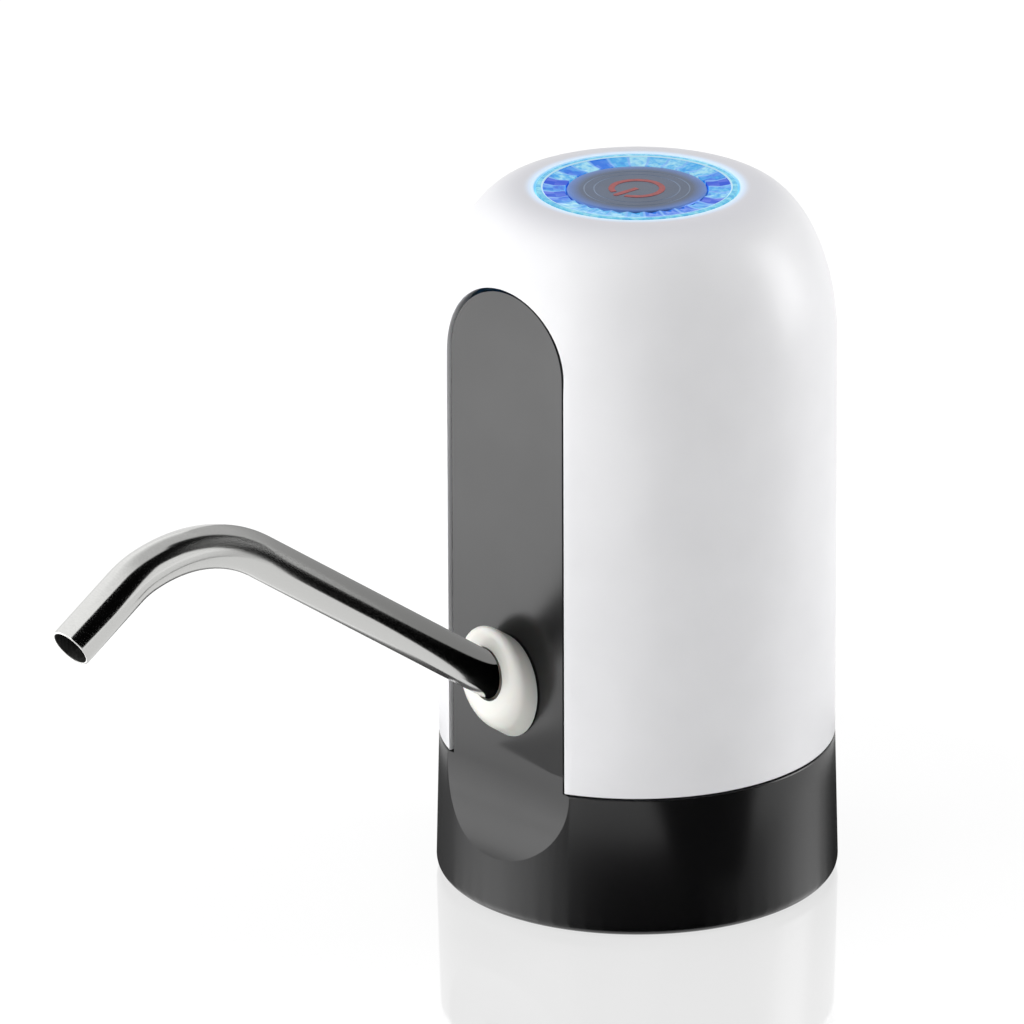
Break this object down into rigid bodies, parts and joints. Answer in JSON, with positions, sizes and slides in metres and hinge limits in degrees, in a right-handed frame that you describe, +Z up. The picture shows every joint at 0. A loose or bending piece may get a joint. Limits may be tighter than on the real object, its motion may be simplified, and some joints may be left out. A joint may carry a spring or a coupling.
{
  "type": "bottled water pump",
  "caption": "Electric pump that seats on a water bottle's neck: round domed body, arched dark front panel, inclined bent steel spout, lit ring round a top push button.",
  "frame": {"origin": "centre of the whole object's footprint on the plane that the base's rim stands on, so the body's own axis is 51.6 mm behind it", "axes": "-Y is the front, where the spout leaves; +Z is up; +X is the right-hand side seen from the front"},
  "size_m": [0.0742, 0.1774, 0.1321],
  "materials": {
    "white_plastic": "satin white ABS",
    "collar_plastic": "satin warm white ABS",
    "dark_plastic": "satin black ABS, softer grey on the flat panel",
    "inner_plastic": "natural moulded plastic",
    "pump_plastic": "dark moulded plastic",
    "silicone": "translucent white silicone",
    "seal_rubber": "black rubber",
    "stainless": "polished stainless steel",
    "satin_steel": "satin steel",
    "zinc_steel": "zinc-plated steel",
    "ring_clear": "clear faceted acrylic lit blue from below",
    "button_metal": "matt grey-blue metallic face",
    "board_green": "printed circuit board",
    "lamp_blue": "flexible lamp strip",
    "chip_black": "moulded component",
    "cell_wrap": "shrink-wrapped cell",
    "gear_acetal": "white acetal",
    "wire_red": "insulated lead"
  },
  "bodies": {
    "housing": {"base_housing": "dark_plastic", "battery_cell": "cell_wrap", "battery_lead": "wire_red", "battery_pad": "seal_rubber", "battery_plug": "chip_black", "battery_tab": "zinc_steel", "charge_board": "board_green", "charge_lead": "wire_red", "control_board": "board_green", "controller_chip": "chip_black", "frame_screw_1": "zinc_steel", "frame_screw_2": "zinc_steel", "frame_screw_3": "zinc_steel", "housing_screw_1": "zinc_steel", "housing_screw_2": "zinc_steel", "housing_screw_3": "zinc_steel", "housing_screw_4": "zinc_steel", "idler_pin": "stainless", "inlet_hose": "silicone", "inlet_nipple": "inner_plastic", "inner_frame": "inner_plastic", "lamp_ring": "lamp_blue", "light_ring": "ring_clear", "motor_can": "satin_steel", "motor_damper": "seal_rubber", "motor_endcap": "pump_plastic", "motor_lead": "wire_red", "motor_screw_1": "zinc_steel", "motor_screw_2": "zinc_steel", "neck_gasket": "silicone", "nipple_nut": "inner_plastic", "outlet_collar": "collar_plastic", "outlet_hose": "silicone", "outlet_socket": "inner_plastic", "pump_body": "pump_plastic", "pump_cover": "pump_plastic", "pump_gasket": "silicone", "pump_screw_1": "zinc_steel", "pump_screw_2": "zinc_steel", "pump_screw_3": "zinc_steel", "pump_screw_4": "zinc_steel", "shaft_seal": "seal_rubber", "spout_oring": "seal_rubber", "switch_body": "chip_black", "top_shell": "white_plastic", "usb_receptacle": "satin_steel", "usb_tongue": "chip_black"},
    "spout_sleeve": {"spout_sleeve": "satin_steel"},
    "spout": {"spout_tube": "stainless"},
    "button": {"power_button": "button_metal", "switch_plunger": "chip_black"},
    "drive": {"drive_gear": "gear_acetal", "motor_shaft": "stainless"},
    "idler": {"idler_gear": "gear_acetal"}
  },
  "joints": [
    {"name": "button_press", "type": "slide", "parent": "housing", "child": "button", "axis": [0, 0, -1], "range_m": [0, 0.0006], "stiffness_N_per_m": 600, "springref_m": -0.0002},
    {"name": "spout_swivel", "type": "hinge", "parent": "housing", "child": "spout_sleeve", "pos_m": [0, 0.01335, 0.0477], "axis": [0, -0.829, 0.5592], "continuous": true},
    {"name": "spout_pull", "type": "slide", "parent": "spout_sleeve", "child": "spout", "axis": [0, -0.829, 0.5592], "range_m": [0, 0.01]},
    {"name": "motor_spin", "type": "hinge", "parent": "housing", "child": "drive", "pos_m": [-0.00545, 0.0496, 0.0619], "axis": [0, 0, 1], "continuous": true},
    {"name": "idler_spin", "type": "hinge", "parent": "housing", "child": "idler", "pos_m": [0.00545, 0.0496, 0.0619], "axis": [0, 0, 1], "continuous": true}
  ],
  "couplings": [
    {"joint": "idler_spin", "follows": "motor_spin", "ratio": -1}
  ]
}
